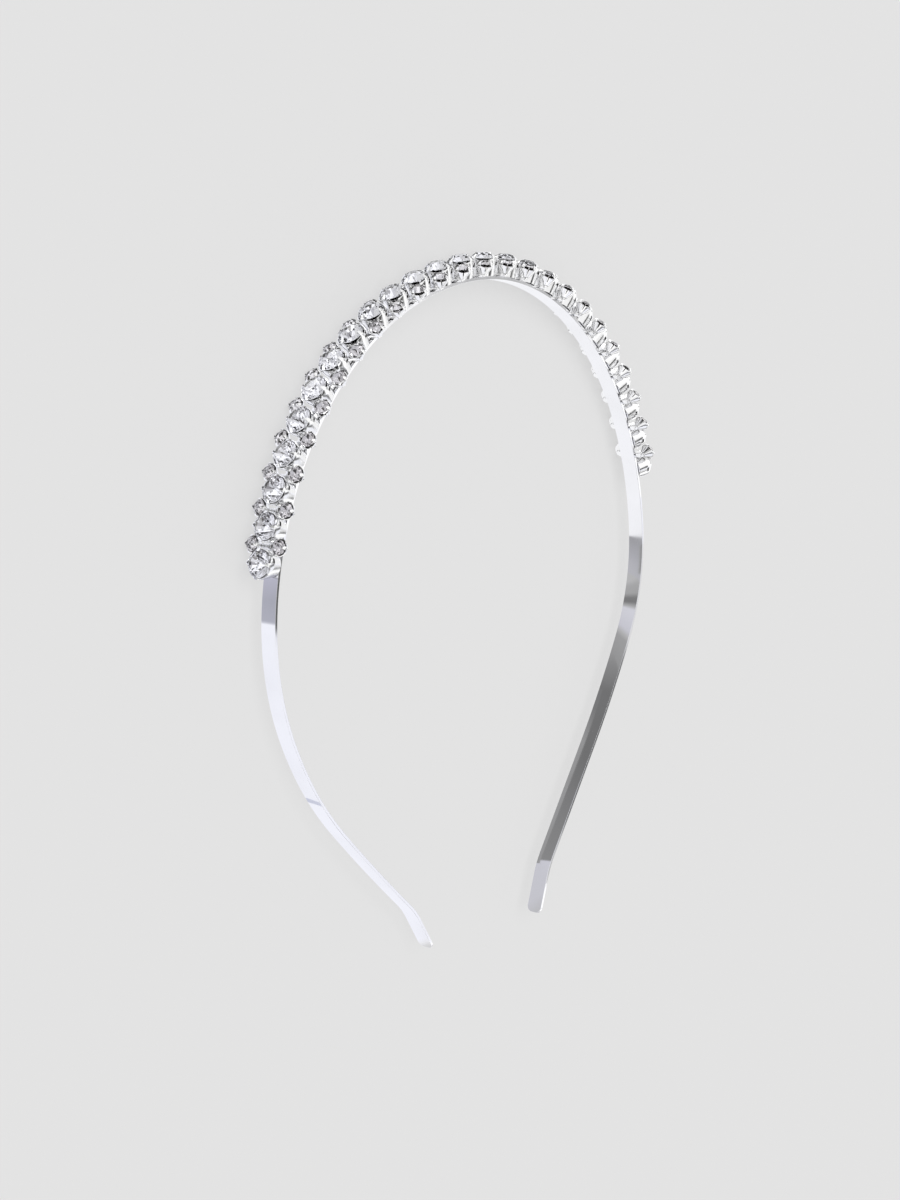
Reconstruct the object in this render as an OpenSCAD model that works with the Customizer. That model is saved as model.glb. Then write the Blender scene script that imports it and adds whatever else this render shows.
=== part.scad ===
// Crystal headband: a sprung flat metal band that carries a soldered strip of claw cups.
// A row of large round stones runs along the middle of the strip, and a pair of small
// stones sits in each gap between two large ones.
// Units are millimetres. The band lies on its side: X across the head, Y from the tips
// up to the crown of the arch, Z across the width of the band. The object's lowest point
// is at Z = 0, and the middle of its outline is at X = Y = 0.

/* [Band] */
// Width of the flat metal band
band_w = 3.7; // [3:0.1:4]
// Thickness of the flat metal band
band_t = 0.6; // [0.5:0.05:0.8]
// Length of the band from the crown of the arch to each tip
half_length = 185; // [175:1:195]
// Radius of the rounded corners at each tip
tip_corner_r = 1.3; // [0.5:0.1:1.4]

/* [Stones] */
// Number of large stones along the middle
large_count = 25; // [9:2:25]
// Distance from one large stone to the next, along the band
pitch = 6.75; // [6.6:0.05:6.9]
// How far the middle of the strip lies to the left of the crown of the arch
strip_shift = 2.0; // [0:0.1:5]
// Diameter of a large stone
large_d = 5.5; // [5:0.1:5.6]
// Diameter of a small stone
small_d = 3.1; // [2.7:0.1:3.1]
// Distance of the small cups' feet from the middle of the band
small_offset = 3.15; // [3.1:0.05:3.4]
// Angle by which the small cups lean away from the middle of the band
small_lean = 8; // [6:1:12]

/* [Claw cups] */
// Height of the large stones' girdle above the band
large_girdle_h = 3.7; // [3.5:0.05:3.9]
// Height of the small stones' girdle above the band
small_girdle_h = 2.8; // [2.6:0.05:3]
// Thickness of the cups' sheet metal
cup_wall = 0.2; // [0.2:0.05:0.25]
// Thickness of the flat links under the cups
link_t = 0.5; // [0.4:0.05:0.6]
// Width of the links between the large cups
link_w = 2.2; // [1.6:0.1:2.6]
// Width of the cross bars that carry the small cups
cross_bar_w = 1.0; // [0.8:0.1:1.4]

/* [Hidden] */
$fn = 72;

// Clear gap between a stone and its cup
stone_gap = 0.05;
// Clear gap between the band and the strip of cups
strip_gap = 0.1;

// Cut of a stone, as shares of its diameter
table_share = 0.53;
crown_share = 0.2;
girdle_share = 0.03;
pavilion_share = 0.45;

// Ledge under a stone, and length of the claws' folded ends, as shares of its radius
ledge_share = 0.93;
lip_share = 0.3;

// Windows between the claws, as shares of the stone's radius: their depth below the girdle,
// half the height over which they are widest, and half their width at the foot, at the
// girdle and at the claws' ends
window_depth = 0.28;
window_sill = 0.11;
window_foot = 0.17;
window_wide = 0.64;
window_end = 0.5;

// Drum of a large cup: its radius at the band, the height at which it has its full width
// as a share of the girdle's, and the small slots in its flanks
drum_foot_r = 2.35;
drum_full = 0.75;
slot_turn = 20;
slot_z = 2.1;
slot_l = 0.8;
slot_h = 0.4;

// Funnel of a small cup: its foot, the neck that stands on the cross bar, the height at
// which it has its full width as a share of the girdle's, and the slits between the claws
funnel_foot_r = 0.65;
neck_r = 0.45;
neck_h = 0.15;
funnel_full = 0.75;
slit_w = 0.16;
slit_sill = 0.1;

// Form of each arm from the crown of the arch down to its tip. Each row is one stretch:
// its share of the half length, and the angle that it turns through in degrees.
SHARE = 0;
TURN = 1;
left_arm = [
    [0.180, 30.5],
    [0.180, 29.5],
    [0.140, 21.5],
    [0.140, 26.5],
    [0.140, 20.5],
    [0.150, 3.5],
    [0.024, -15.5],
    [0.046, 0.0]
];
right_arm = [
    [0.180, 37.5],
    [0.180, 32.0],
    [0.140, 20.0],
    [0.140, 31.5],
    [0.140, 7.0],
    [0.150, 0.0],
    [0.024, -15.5],
    [0.046, 0.0]
];

small_pairs = large_count - 1;
first_large = -strip_shift - pitch * (large_count - 1) / 2;
large_at = [for (i = [0 : large_count - 1]) first_large + pitch * i];
small_at = [for (i = [0 : small_pairs - 1]) first_large + pitch * (i + 0.5)];

// Distances along the band at which its outline has a point
outline_steps = 200;
band_at = [for (i = [0 : outline_steps]) half_length * (2 * i / outline_steps - 1)];

// Heights above the band's middle line
band_top = band_t / 2;
link_z = band_top + strip_gap;
large_z = band_top + large_girdle_h;
small_z = band_top + small_girdle_h;
small_foot_z = link_z + link_t + neck_h;

function crystal_name(i) = str("crystal_", i < 9 ? "0" : "", i + 1);

// Place at the end of a stretch: [x, y, heading], where heading is the slope below +X
function stretch_end(from, length, turn) =
    let (h = from[2])
    turn == 0
        ? [from[0] + length * cos(h), from[1] - length * sin(h), h]
        : let (r = length / (turn * PI / 180))
          [
              from[0] + r * (sin(h + turn) - sin(h)),
              from[1] + r * (cos(h + turn) - cos(h)),
              h + turn
          ];

// Place at a distance s down one arm
function walk(arm, s, i = 0, from = [0, 0, 0]) =
    let (length = arm[i][SHARE] * half_length)
    s <= length || i == len(arm) - 1
        ? stretch_end(from, s, arm[i][TURN] * s / length)
        : walk(arm, s - length, i + 1, stretch_end(from, length, arm[i][TURN]));

// Place on the band's middle line, where s is negative on the left arm
function place(s) =
    s >= 0
        ? walk(right_arm, s)
        : let (p = walk(left_arm, -s)) [-p[0], p[1], -p[2]];

// Point at a height above the middle line and a distance further along the band
function beside(s, along, height) =
    let (p = place(s))
    [
        p[0] + height * sin(p[2]) + along * cos(p[2]),
        p[1] + height * cos(p[2]) - along * sin(p[2])
    ];

// The object's outline, which sets where it lies
table_z = large_z + (girdle_share / 2 + crown_share) * large_d;
large_rim_r = large_d / 2 + stone_gap + cup_wall;
small_rim_r = small_d / 2 + stone_gap + cup_wall;
rim_points = [for (s = large_at, side = [-1, 1]) beside(s, side * large_rim_r, large_z)];
table_points =
    [for (s = large_at, side = [-1, 1]) beside(s, side * table_share * large_d / 2, table_z)];
edge_points = [for (s = band_at, side = [-1, 1]) beside(s, 0, side * band_top)];
outline_points = concat(rim_points, table_points, edge_points);
xs = [for (p = outline_points) p[0]];
ys = [for (p = outline_points) p[1]];
middle_x = (min(xs) + max(xs)) / 2;
middle_y = (min(ys) + max(ys)) / 2;
claw_top = small_z + girdle_share * small_d / 2 + stone_gap + 0.5 * cup_wall - link_z;
middle_z = small_offset + small_rim_r * cos(small_lean) + claw_top * sin(small_lean);

// Moves a thing from the arch's own place, crown at the origin, to where the object lies
module laid() {
    translate([-middle_x, -middle_y, middle_z]) children();
}

// Stands a thing on the band at s: its Z points outward, its X along the band
module on_band(s, across = 0) {
    p = place(s);
    translate([p[0], p[1], across]) rotate([0, 0, -p[2]]) rotate([-90, 0, 0]) children();
}

// Stands a thing on a cross bar, leaning towards the side of the band that it is on
module on_bar(s, side) {
    on_band(s, side * small_offset)
        translate([0, 0, link_z]) rotate([side * small_lean, 0, 0]) translate([0, 0, -link_z])
            children();
}

// What is cut off a tip to round its corners
module tip_corners() {
    corner = [-tip_corner_r, band_w / 2 - tip_corner_r];
    linear_extrude(4 * band_t, center = true)
        for (across = [0, 1])
            mirror([0, across]) difference() {
                translate(corner) square(2 * tip_corner_r);
                translate(corner) circle(tip_corner_r);
            }
}

// The strip of metal on edge, from the left tip over the crown to the right tip
module band() {
    outer_edge = [for (s = band_at) beside(s, 0, band_top)];
    inner_edge = [for (i = [len(band_at) - 1 : -1 : 0]) beside(band_at[i], 0, -band_top)];
    color("#c9c9cf") laid() difference() {
        linear_extrude(band_w, center = true) polygon(concat(outer_edge, inner_edge));
        on_band(half_length) tip_corners();
        on_band(-half_length) rotate([0, 0, 180]) tip_corners();
    }
}

// Height of the floor under a stone's lower point
function floor_height(d, girdle_z) =
    girdle_z - (girdle_share / 2 + pavilion_share) * d - 2 * stone_gap;

// Lower end of the windows between the claws
function window_low(d, girdle_z) = girdle_z - window_depth * d / 2;

// Cuts a shape of width and height through the cup, across its axis
module cut_across(turn) {
    rotate([0, 0, turn]) rotate([90, 0, 0])
        linear_extrude(2 * large_d, center = true) children();
}

// A claw cup for a stone of diameter d with its girdle at height girdle_z. The list base
// is its profile from the axis, under the floor, to the outside. Windows part the rim into
// four claws, along and across the band, whose ends are folded over the stone's crown.
module claw_cup(d, girdle_z, base, full_z, cavity_r) {
    r = d / 2;
    run = r - table_share * r;
    rise = crown_share * d;
    slope = norm([run, rise]);
    inner_r = r + stone_gap;
    outer_r = inner_r + cup_wall;
    girdle_top = girdle_z + girdle_share * d / 2 + stone_gap;
    girdle_low = girdle_z - girdle_share * d / 2 - stone_gap;
    ledge_r = ledge_share * r;
    ledge_z = girdle_low - (r - ledge_r) * 2 * pavilion_share - stone_gap;
    floor_z = floor_height(d, girdle_z);
    lip = lip_share * r;
    lip_inner = [inner_r - lip * run / slope, girdle_top + lip * rise / slope];
    lip_outer = lip_inner + cup_wall * [rise, run] / slope;
    difference() {
        rotate_extrude() polygon(concat(base, [
            [outer_r, full_z],
            [outer_r, girdle_top + 0.5 * cup_wall],
            lip_outer,
            lip_inner,
            [inner_r, girdle_top],
            [inner_r, girdle_low],
            [ledge_r, ledge_z],
            [cavity_r, floor_z],
            [0, floor_z]
        ]));
        for (turn = [45, 135])
            cut_across(turn) polygon([
                [-window_foot * r, window_low(d, girdle_z)],
                [window_foot * r, window_low(d, girdle_z)],
                [window_wide * r, girdle_z - window_sill * r],
                [window_wide * r, girdle_z + window_sill * r],
                [window_end * r, lip_outer[1] + cup_wall],
                [-window_end * r, lip_outer[1] + cup_wall],
                [-window_wide * r, girdle_z + window_sill * r],
                [-window_wide * r, girdle_z - window_sill * r]
            ]);
    }
}

// A large cup: a drum that is open below, with a small slot in each flank
module large_cup() {
    under_z = floor_height(large_d, large_z) - cup_wall;
    skirt_r = drum_foot_r - cup_wall;
    base = [[0, under_z], [skirt_r, under_z], [skirt_r, link_z], [drum_foot_r, link_z]];
    full_z = link_z + drum_full * (large_z - link_z);
    difference() {
        claw_cup(large_d, large_z, base, full_z, skirt_r);
        cut_across(slot_turn) translate([0, slot_z]) polygon([
            [-slot_l / 2, 0],
            [-slot_l / 3, -slot_h / 2],
            [slot_l / 3, -slot_h / 2],
            [slot_l / 2, 0],
            [slot_l / 3, slot_h / 2],
            [-slot_l / 3, slot_h / 2]
        ]);
    }
}

// A small cup: a funnel on a neck, its claws parted down to the floor by narrow slits
module small_cup() {
    floor_z = floor_height(small_d, small_z);
    low_z = link_z + 0.6 * link_t;
    base = [[0, low_z], [neck_r, low_z], [neck_r, small_foot_z], [funnel_foot_r, small_foot_z]];
    full_z = small_foot_z + funnel_full * (small_z - small_foot_z);
    slit_low = floor_z + slit_sill;
    slit_h = 1.1 * (window_low(small_d, small_z) - slit_low);
    difference() {
        claw_cup(small_d, small_z, base, full_z, neck_r);
        for (turn = [45, 135])
            cut_across(turn) translate([-slit_w / 2, slit_low]) square([slit_w, slit_h]);
    }
}

// The soldered strip: large cups, the links between them, and cross bars with small cups
module claw_strip() {
    color("#d8d8dc") laid() {
        for (s = large_at)
            on_band(s) large_cup();
        for (s = small_at) {
            on_band(s) translate([-pitch / 2, -link_w / 2, link_z]) cube([pitch, link_w, link_t]);
            on_band(s) translate([-cross_bar_w / 2, -small_offset, link_z])
                cube([cross_bar_w, 2 * small_offset, link_t]);
            for (side = [-1, 1])
                on_bar(s, side) small_cup();
        }
    }
}

// A ring of points, turned by half a step where shift is 0.5
function ring(count, r, z, shift = 0) =
    [for (i = [0 : count - 1]) let (a = 360 * (i + shift) / count) [r * cos(a), r * sin(a), z]];

// A round brilliant with an eight-sided table, the girdle's middle at Z = 0
module brilliant(d) {
    r = d / 2;
    girdle = girdle_share * d / 2;
    crown = girdle + crown_share * d;
    table_r = table_share * r;
    star_r = 0.82 * r;
    half_step = 360 / 16;
    star_z = crown - (star_r * cos(half_step) - table_r) * crown_share * d / (r - table_r);
    points = concat(
        ring(8, table_r, crown),
        ring(8, star_r, star_z, 0.5),
        ring(16, r, girdle),
        ring(16, r, -girdle),
        [[0, 0, -girdle - pavilion_share * d]]
    );
    table = 0;
    star = 8;
    upper = 16;
    lower = 32;
    culet = 48;
    faces = concat(
        [[for (i = [7 : -1 : 0]) table + i]],
        [for (i = [0 : 7]) [table + i, table + (i + 1) % 8, star + i]],
        [for (i = [0 : 7]) [table + i, star + i, upper + 2 * i]],
        [for (i = [0 : 7]) [table + i, upper + 2 * i, star + (i + 7) % 8]],
        [for (i = [0 : 7]) [star + i, upper + 2 * i + 1, upper + 2 * i]],
        [for (i = [0 : 7]) [star + i, upper + (2 * i + 2) % 16, upper + 2 * i + 1]],
        [for (i = [0 : 15]) [upper + i, upper + (i + 1) % 16, lower + (i + 1) % 16, lower + i]],
        [for (i = [0 : 15]) [lower + i, lower + (i + 1) % 16, culet]]
    );
    polyhedron(points, faces, convexity = 2);
}

// A small round stone with eight crown facets and eight pavilion facets
module eight_cut(d) {
    r = d / 2;
    girdle = girdle_share * d / 2;
    points = concat(
        ring(8, table_share * r, girdle + crown_share * d, 0.5),
        ring(8, r, girdle, 0.5),
        ring(8, r, -girdle, 0.5),
        [[0, 0, -girdle - pavilion_share * d]]
    );
    faces = concat(
        [[for (i = [7 : -1 : 0]) i]],
        [for (i = [0 : 7]) [i, (i + 1) % 8, 8 + (i + 1) % 8, 8 + i]],
        [for (i = [0 : 7]) [8 + i, 8 + (i + 1) % 8, 16 + (i + 1) % 8, 16 + i]],
        [for (i = [0 : 7]) [16 + i, 16 + (i + 1) % 8, 24]]
    );
    polyhedron(points, faces, convexity = 2);
}

module crystal(i) {
    color("#eef2fa") laid() on_band(large_at[i]) translate([0, 0, large_z]) brilliant(large_d);
}

module side_crystals(side) {
    color("#e4eaf6") laid()
        for (s = small_at)
            on_bar(s, side) translate([0, 0, small_z]) eight_cut(small_d);
}

band();
claw_strip();
for (i = [0 : large_count - 1])
    crystal(i);
side_crystals(1);  // front_side_crystals
side_crystals(-1);  // back_side_crystals
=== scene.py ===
"""Dresses the crystal headband: polished plating, claw cups of sheet metal, foiled cut stones."""

import math
import random
from collections import namedtuple

import bmesh
import bpy
from bpy.props import FloatProperty, FloatVectorProperty, IntProperty, PointerProperty
from mathutils import Matrix, Vector


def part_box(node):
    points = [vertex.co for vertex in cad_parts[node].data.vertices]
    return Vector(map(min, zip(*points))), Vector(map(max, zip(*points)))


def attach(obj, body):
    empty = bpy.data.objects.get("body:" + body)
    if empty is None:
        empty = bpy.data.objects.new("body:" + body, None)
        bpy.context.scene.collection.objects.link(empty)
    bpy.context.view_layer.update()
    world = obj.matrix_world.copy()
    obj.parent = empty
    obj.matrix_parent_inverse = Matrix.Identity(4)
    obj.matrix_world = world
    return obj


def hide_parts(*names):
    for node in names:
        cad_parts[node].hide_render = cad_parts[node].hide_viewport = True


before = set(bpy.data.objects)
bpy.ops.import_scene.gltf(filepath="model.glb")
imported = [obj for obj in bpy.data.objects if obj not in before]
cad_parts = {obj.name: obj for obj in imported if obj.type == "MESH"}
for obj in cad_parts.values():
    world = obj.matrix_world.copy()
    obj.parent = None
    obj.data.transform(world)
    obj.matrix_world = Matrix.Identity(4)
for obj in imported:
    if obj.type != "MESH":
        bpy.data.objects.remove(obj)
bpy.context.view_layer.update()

bl_info = {
    "name": "Crystal headband",
    "version": (1, 0, 0),
    "blender": (4, 5, 0),
    "location": "View3D > Sidebar > Headband",
    "description": "Builds a headband with claw-set crystals on its CAD frame",
    "category": "Object",
}

MM = 0.001

# Points closer than this are one, and a smaller turn in radians counts as straight
WELD_DISTANCE = 1e-7
LEAST_TURN = 1e-9

# The arch, as the part's source gives it: each stretch of an arm is its share of the half
# length and the angle that it turns through, from the crown down to the tip.
HALF_LENGTH = 185 * MM
LEFT_ARM = (
    (0.180, 30.5),
    (0.180, 29.5),
    (0.140, 21.5),
    (0.140, 26.5),
    (0.140, 20.5),
    (0.150, 3.5),
    (0.024, -15.5),
    (0.046, 0.0),
)
RIGHT_ARM = (
    (0.180, 37.5),
    (0.180, 32.0),
    (0.140, 20.0),
    (0.140, 31.5),
    (0.140, 7.0),
    (0.150, 0.0),
    (0.024, -15.5),
    (0.046, 0.0),
)

# The band, with how finely it is bent and its edges are rounded
BAND_WIDTH = 3.7 * MM
BAND_THICKNESS = 0.6 * MM
BAND_SECTIONS = 240
TIP_SEGMENTS = 8
EDGE_SEGMENTS = 3
BAND_SHARP_ANGLE = math.radians(12)

# The stones: where they stand along the band from its crown, how far the small ones stand
# from its middle line and lean, and how high the girdles lie above that line
LARGE_COUNT = 25
PITCH = 6.75 * MM
STRIP_SHIFT = 2.0 * MM
FIRST_LARGE = -STRIP_SHIFT - PITCH * (LARGE_COUNT - 1) / 2
LARGE_AT = [FIRST_LARGE + PITCH * i for i in range(LARGE_COUNT)]
SMALL_AT = [FIRST_LARGE + PITCH * (i + 0.5) for i in range(LARGE_COUNT - 1)]
SMALL_OFFSET = 3.15 * MM
SMALL_LEAN = math.radians(8)
LARGE_GIRDLE = 4.0 * MM
SMALL_GIRDLE = 3.1 * MM
SMALL_DIAMETER = 3.1 * MM

# A small stone's points all lie within this share of its diameter from its middle
STONE_REACH = 0.75
# Facets that meet at less than this angle are one
FACET_ANGLE = math.radians(0.5)
# Furthest that a stone may be tipped, in degrees
MOST_TIP = 1
# Facets whose normal's outward part is below this have the foil behind them
FOIL_FACING = -0.2

# The strip's flat metal: its heights above the band's middle line, widths and rounding
LINK_LOW = 0.4 * MM
LINK_HIGH = 0.9 * MM
LINK_WIDTH = 2.2 * MM
LINK_OVERLAP = 0.4 * MM
CROSS_BAR_WIDTH = 1.0 * MM
BAR_EDGE_RADIUS = 0.12 * MM
BAR_EDGE_SEGMENTS = 2

# Outer skin of a cup, row by row from its foot to the claws' ends: radius and height in
# millimetres, and half the angle in degrees that a claw spans at that row. The windows
# between the claws start at a row, a slot fills one and a slit runs up from one.
LARGE_CUP_ROWS = (
    (2.35, 0.40, 36.4),
    (2.47, 0.90, 36.4),
    (2.62, 1.50, 36.4),
    (2.72, 1.96, 36.4),
    (2.86, 2.56, 36.4),
    (2.97, 3.14, 36.4),
    (3.00, 3.56, 36.4),
    (3.00, 3.70, 23.0),
    (3.00, 3.88, 8.2),
    (3.00, 4.14, 7.4),
    (2.91, 4.30, 6.8),
    (2.62, 4.55, 5.4),
    (2.34, 4.79, 3.8),
)
LARGE_WINDOW_ROW = 6
LARGE_SLOT_ROW = 4
SMALL_CUP_ROWS = (
    (0.65, 1.05, 36.4),
    (1.08, 1.62, 36.4),
    (1.34, 1.97, 36.4),
    (1.62, 2.35, 36.4),
    (1.69, 2.45, 36.4),
    (1.75, 2.55, 24.0),
    (1.80, 2.70, 12.4),
    (1.80, 3.22, 11.6),
    (1.71, 3.36, 10.6),
    (1.38, 3.64, 6.4),
)
SMALL_WINDOW_ROW = 4
SMALL_SLIT_ROW = 1
# Faces round a cup from the middle of a claw to its edge and between two claws, those that
# a slot takes, and half the angle in degrees that a slit takes
CLAW_COLUMNS = 4
OPEN_COLUMNS = 3
QUARTER_COLUMNS = 2 * CLAW_COLUMNS + OPEN_COLUMNS
SLOT_COLUMNS = (1, 2)
SLIT_HALF_ANGLE = 3.6
# Thickness of a small cup's metal as a share of a large one's
SMALL_SHEET_SHARE = 0.8
CUP_SHARP_ANGLE = math.radians(38)

# Floors and feet of the cups: radius below and above, height below and above, all in
# millimetres, and number of sides
LARGE_FLOOR = 1.15
SMALL_FLOOR = 0
LARGE_DISCS = ((2.36, 2.40, LARGE_FLOOR, LARGE_FLOOR + 0.2, 32), (2.20, 2.22, 0.42, 0.54, 32))
SMALL_DISCS = ((0.58, 0.94, 1.08, 1.52, 20), (0.52, 0.42, 0.72, 1.08, 16))

# Faces of a cup are lined with the dark inner metal, painted shade for the hollow inside a cup
# and its slots, where their normal's outward part is below the first number, or in a slot below
# the second
INNER_FACING = -0.3
LINING_FACING = 0.3

# The camera: its turn in degrees, its place from the crown along its own axes, and its focal
# length in pixels of the photograph
CAMERA_AZIMUTH = 49.041
CAMERA_ELEVATION = 13.741
CAMERA_ROLL = -3.259
CAMERA_DISTANCE = 444.94 * MM
CAMERA_AIM_ACROSS = -3.672 * MM
CAMERA_AIM_ALONG = -65.467 * MM
CAMERA_FOCAL = 2181.12
PHOTO_HEIGHT = 1200
SENSOR_HEIGHT = 36
CAMERA_NEAREST = 10 * MM


# ---------------------------------------------------------------- the arch


def place(s):
    """Point and heading of the band's middle line at a distance s from the crown."""
    side = 1 if s >= 0 else -1
    x = y = heading = 0.0
    left = abs(s)
    for share, turn in RIGHT_ARM if s >= 0 else LEFT_ARM:
        length = share * HALF_LENGTH
        step = min(left, length)
        angle = math.radians(turn) * step / length
        if abs(angle) < LEAST_TURN:
            x += step * math.cos(heading)
            y -= step * math.sin(heading)
        else:
            radius = step / angle
            x += radius * (math.sin(heading + angle) - math.sin(heading))
            y += radius * (math.cos(heading + angle) - math.cos(heading))
        heading += angle
        left -= step
        if left <= 0:
            break
    return side * x, y, side * heading


def arch_point(s, height):
    """Point beside the middle line, in the arch's own frame with its crown at the origin."""
    x, y, heading = place(s)
    return x + height * math.sin(heading), y + height * math.cos(heading)


def find_crown():
    """Where the crown of the band's middle line lies in the row's frame."""
    low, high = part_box("band")
    steps = range(-BAND_SECTIONS, BAND_SECTIONS + 1)
    outer = [arch_point(HALF_LENGTH * i / BAND_SECTIONS, BAND_THICKNESS / 2)[0] for i in steps]
    x = (low.x + high.x) / 2 - (min(outer) + max(outer)) / 2
    return Vector((x, high.y - BAND_THICKNESS / 2, (low.z + high.z) / 2))


CROWN = find_crown()


def on_band(s, across=0.0):
    """Matrix that stands a thing on the band: its X runs along the band, its Z outwards."""
    x, y, heading = place(s)
    along = Vector((math.cos(heading), -math.sin(heading), 0))
    outward = Vector((math.sin(heading), math.cos(heading), 0))
    turn = Matrix((along, outward.cross(along), outward)).transposed()
    return Matrix.Translation(CROWN + Vector((x, y, across))) @ turn.to_4x4()


def on_bar(s, side):
    """Matrix of a small cup on its cross bar, leaning towards its own side of the band."""
    foot = Matrix.Translation((0, 0, LINK_LOW))
    lean = Matrix.Rotation(side * SMALL_LEAN, 4, "X")
    return on_band(s, side * SMALL_OFFSET) @ foot @ lean @ foot.inverted()


# ---------------------------------------------------------------- settings


class HeadbandPlating(bpy.types.PropertyGroup):
    band_colour: FloatVectorProperty(
        name="Band colour",
        description="Colour of the band's polished plating",
        subtype="COLOR",
        size=3,
        min=0,
        max=1,
        default=(0.93, 0.93, 0.95),
    )
    cup_colour: FloatVectorProperty(
        name="Cup colour",
        description="Colour of the plating on the claw cups and links",
        subtype="COLOR",
        size=3,
        min=0,
        max=1,
        default=(0.95, 0.95, 0.955),
    )
    band_width: FloatProperty(
        name="Band width",
        description="Width of the flat band",
        unit="LENGTH",
        default=BAND_WIDTH,
    )
    band_thickness: FloatProperty(
        name="Band thickness",
        description="Thickness of the band's metal",
        unit="LENGTH",
        default=BAND_THICKNESS,
    )
    tip_radius: FloatProperty(
        name="Tip radius",
        description="Radius of the rounded corners at the tips",
        unit="LENGTH",
        default=1.3 * MM,
    )
    edge_radius: FloatProperty(
        name="Edge radius",
        description="Rounding along the band's edges",
        unit="LENGTH",
        default=0.04 * MM,
    )
    sheet: FloatProperty(
        name="Sheet thickness",
        description="Thickness of the cups' sheet metal",
        unit="LENGTH",
        default=0.2 * MM,
    )
    # Painted shade: a dark colour given to the cups' insides and slot walls for the shade there
    inner_shade_colour: FloatVectorProperty(
        name="Inner shade colour",
        description="Dark colour painted inside the cups as their shade",
        subtype="COLOR",
        size=3,
        min=0,
        max=1,
        default=(0.12, 0.115, 0.115),
    )


class HeadbandStones(bpy.types.PropertyGroup):
    glass_colour: FloatVectorProperty(
        name="Glass colour",
        description="Tint of the cut glass",
        subtype="COLOR",
        size=3,
        min=0,
        max=1,
        default=(0.985, 0.99, 1.0),
    )
    foil_colour: FloatVectorProperty(
        name="Foil colour",
        description="Colour of the mirror foil under the stones",
        subtype="COLOR",
        size=3,
        min=0,
        max=1,
        default=(0.92, 0.92, 0.94),
    )
    small_foil_colour: FloatVectorProperty(
        name="Small foil colour",
        description="Colour of the mirror foil under the small stones",
        subtype="COLOR",
        size=3,
        min=0,
        max=1,
        default=(0.82, 0.80, 0.805),
    )
    turn_spread: FloatProperty(
        name="Turn",
        description="Range over which each stone may be turned in its cup",
        subtype="ANGLE",
        default=math.radians(45),
    )
    seed: IntProperty(
        name="Seed",
        description="Changes how each stone happens to lie in its cup",
        default=7,
        min=0,
    )


class HeadbandStage(bpy.types.PropertyGroup):
    backdrop_colour: FloatVectorProperty(
        name="Backdrop colour",
        description="Colour of the paper that the headband lies on",
        subtype="COLOR",
        size=3,
        min=0,
        max=1,
        default=(0.769, 0.768, 0.768),
    )
    backdrop_glow: FloatProperty(
        name="Backdrop glow",
        description="Share of the paper's light that comes from below it",
        default=0.7,
        min=0,
        max=1,
    )
    backdrop_size: FloatProperty(
        name="Backdrop size",
        description="Width of the paper",
        unit="LENGTH",
        default=4.0,
    )
    sky_strength: FloatProperty(
        name="Soft light",
        description="Strength of the even light from all round",
        default=0.66,
        min=0,
    )
    key_strength: FloatProperty(
        name="Key light",
        description="Strength of the large soft light overhead",
        default=1.2,
        min=0,
    )


# ---------------------------------------------------------------- finishes


class Sheet:
    """Lays out the nodes of one material or node group."""

    def __init__(self, tree):
        self.tree = tree
        self.count = 0

    def node(self, kind, inputs=None, **settings):
        """Adds a node with its settings and fills its inputs."""
        made = self.tree.nodes.new(kind)
        made.location = (220 * (self.count % 6) - 900, 260 - 240 * (self.count // 6))
        self.count += 1
        for key, value in settings.items():
            setattr(made, key, value)
        self.feed(made.inputs, inputs or {})
        return made

    def feed(self, sockets, values):
        """Links or sets input sockets, each named with an output socket or a plain value."""
        for key, value in values.items():
            if isinstance(value, bpy.types.NodeSocket):
                self.tree.links.new(value, sockets[key])
            else:
                sockets[key].default_value = value

    def ramp(self, factor, stops, interpolation="LINEAR"):
        """Adds a colour ramp from stops of (position, tone) and gives its colour."""
        made = self.node("ShaderNodeValToRGB", {"Fac": factor})
        made.color_ramp.interpolation = interpolation
        elements = made.color_ramp.elements
        while len(elements) < len(stops):
            elements.new(0.5)
        for element, (position, tone) in zip(elements, stops):
            element.position = position
            element.color = (*tone, 1) if isinstance(tone, tuple) else (tone, tone, tone, 1)
        return made.outputs["Color"]


def new_group(name, inputs, outputs):
    """A node group with named inputs (name, kind, default) and outputs (name, kind)."""
    tree = bpy.data.node_groups.new(name, "ShaderNodeTree")
    for label, kind, default in inputs:
        socket = tree.interface.new_socket(label, in_out="INPUT", socket_type=kind)
        if default is not None:
            socket.default_value = default
    for label, kind in outputs:
        tree.interface.new_socket(label, in_out="OUTPUT", socket_type=kind)
    sheet = Sheet(tree)
    return sheet, sheet.node("NodeGroupInput").outputs, sheet.node("NodeGroupOutput").inputs


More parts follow.
